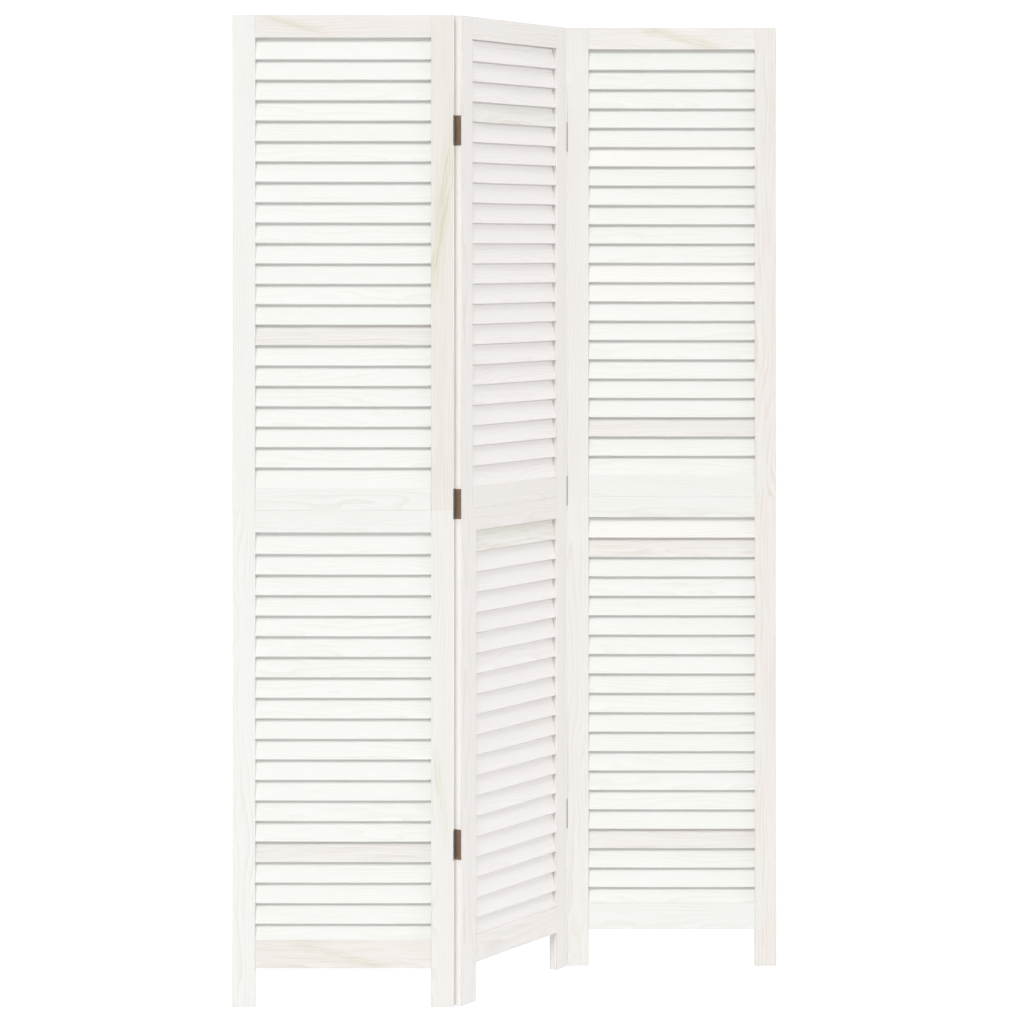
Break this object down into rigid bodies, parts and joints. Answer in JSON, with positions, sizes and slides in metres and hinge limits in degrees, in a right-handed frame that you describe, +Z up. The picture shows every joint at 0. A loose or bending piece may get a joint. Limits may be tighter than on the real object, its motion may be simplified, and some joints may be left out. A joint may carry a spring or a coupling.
{
  "type": "folding room divider screen",
  "caption": "Free-standing folding screen of louvred wooden panels, joined by butt hinges so that they stand in a zigzag or fold flat.",
  "frame": {"origin": "on the floor, at the middle of the half-folded screen's box", "axes": "+Z up; +X to the right along the screen, seen from the front; the front faces -Y. At rest the left and right panels are square to Y and the middle panel is turned back"},
  "size_m": [0.9352, 0.3436, 1.66],
  "materials": {
    "frame_wood": "whitewashed, satin, faint grain, with a pinkish cast on some boards",
    "louvre_wood": "whitewashed, satin, a few boards darker and streaked",
    "dowel_wood": "bare hardwood",
    "hinge_metal": "brown bronze lacquer, satin"
  },
  "bodies": {
    "middle_panel": {"left_bottom_hinge_middle_leaf": "hinge_metal", "left_middle_hinge_middle_leaf": "hinge_metal", "left_top_hinge_middle_leaf": "hinge_metal", "middle_left_dowel": "dowel_wood", "middle_lower_bottom_rail": "frame_wood", "middle_lower_left_stile": "frame_wood", "middle_lower_louvres": "louvre_wood", "middle_lower_right_stile": "frame_wood", "middle_lower_top_rail": "frame_wood", "middle_right_dowel": "dowel_wood", "middle_upper_bottom_rail": "frame_wood", "middle_upper_left_stile": "frame_wood", "middle_upper_louvres": "louvre_wood", "middle_upper_right_stile": "frame_wood", "middle_upper_top_rail": "frame_wood", "right_bottom_hinge_middle_leaf": "hinge_metal", "right_middle_hinge_middle_leaf": "hinge_metal", "right_top_hinge_middle_leaf": "hinge_metal"},
    "left_panel": {"left_bottom_hinge_left_leaf": "hinge_metal", "left_bottom_hinge_pin": "hinge_metal", "left_left_dowel": "dowel_wood", "left_lower_bottom_rail": "frame_wood", "left_lower_left_stile": "frame_wood", "left_lower_louvres": "louvre_wood", "left_lower_right_stile": "frame_wood", "left_lower_top_rail": "frame_wood", "left_middle_hinge_left_leaf": "hinge_metal", "left_middle_hinge_pin": "hinge_metal", "left_right_dowel": "dowel_wood", "left_top_hinge_left_leaf": "hinge_metal", "left_top_hinge_pin": "hinge_metal", "left_upper_bottom_rail": "frame_wood", "left_upper_left_stile": "frame_wood", "left_upper_louvres": "louvre_wood", "left_upper_right_stile": "frame_wood", "left_upper_top_rail": "frame_wood"},
    "right_panel": {"right_bottom_hinge_pin": "hinge_metal", "right_bottom_hinge_right_leaf": "hinge_metal", "right_left_dowel": "dowel_wood", "right_lower_bottom_rail": "frame_wood", "right_lower_left_stile": "frame_wood", "right_lower_louvres": "louvre_wood", "right_lower_right_stile": "frame_wood", "right_lower_top_rail": "frame_wood", "right_middle_hinge_pin": "hinge_metal", "right_middle_hinge_right_leaf": "hinge_metal", "right_right_dowel": "dowel_wood", "right_top_hinge_pin": "hinge_metal", "right_top_hinge_right_leaf": "hinge_metal", "right_upper_bottom_rail": "frame_wood", "right_upper_left_stile": "frame_wood", "right_upper_louvres": "louvre_wood", "right_upper_right_stile": "frame_wood", "right_upper_top_rail": "frame_wood"}
  },
  "joints": [
    {"name": "left_fold", "type": "hinge", "parent": "middle_panel", "child": "left_panel", "pos_m": [-0.09742, -0.15767, 0.83], "axis": [0, 0, 1], "range_deg": [-119.5, 60.5]},
    {"name": "right_fold", "type": "hinge", "parent": "middle_panel", "child": "right_panel", "pos_m": [0.09742, 0.15767, 0.83], "axis": [0, 0, 1], "range_deg": [-119.5, 60.5]}
  ]
}
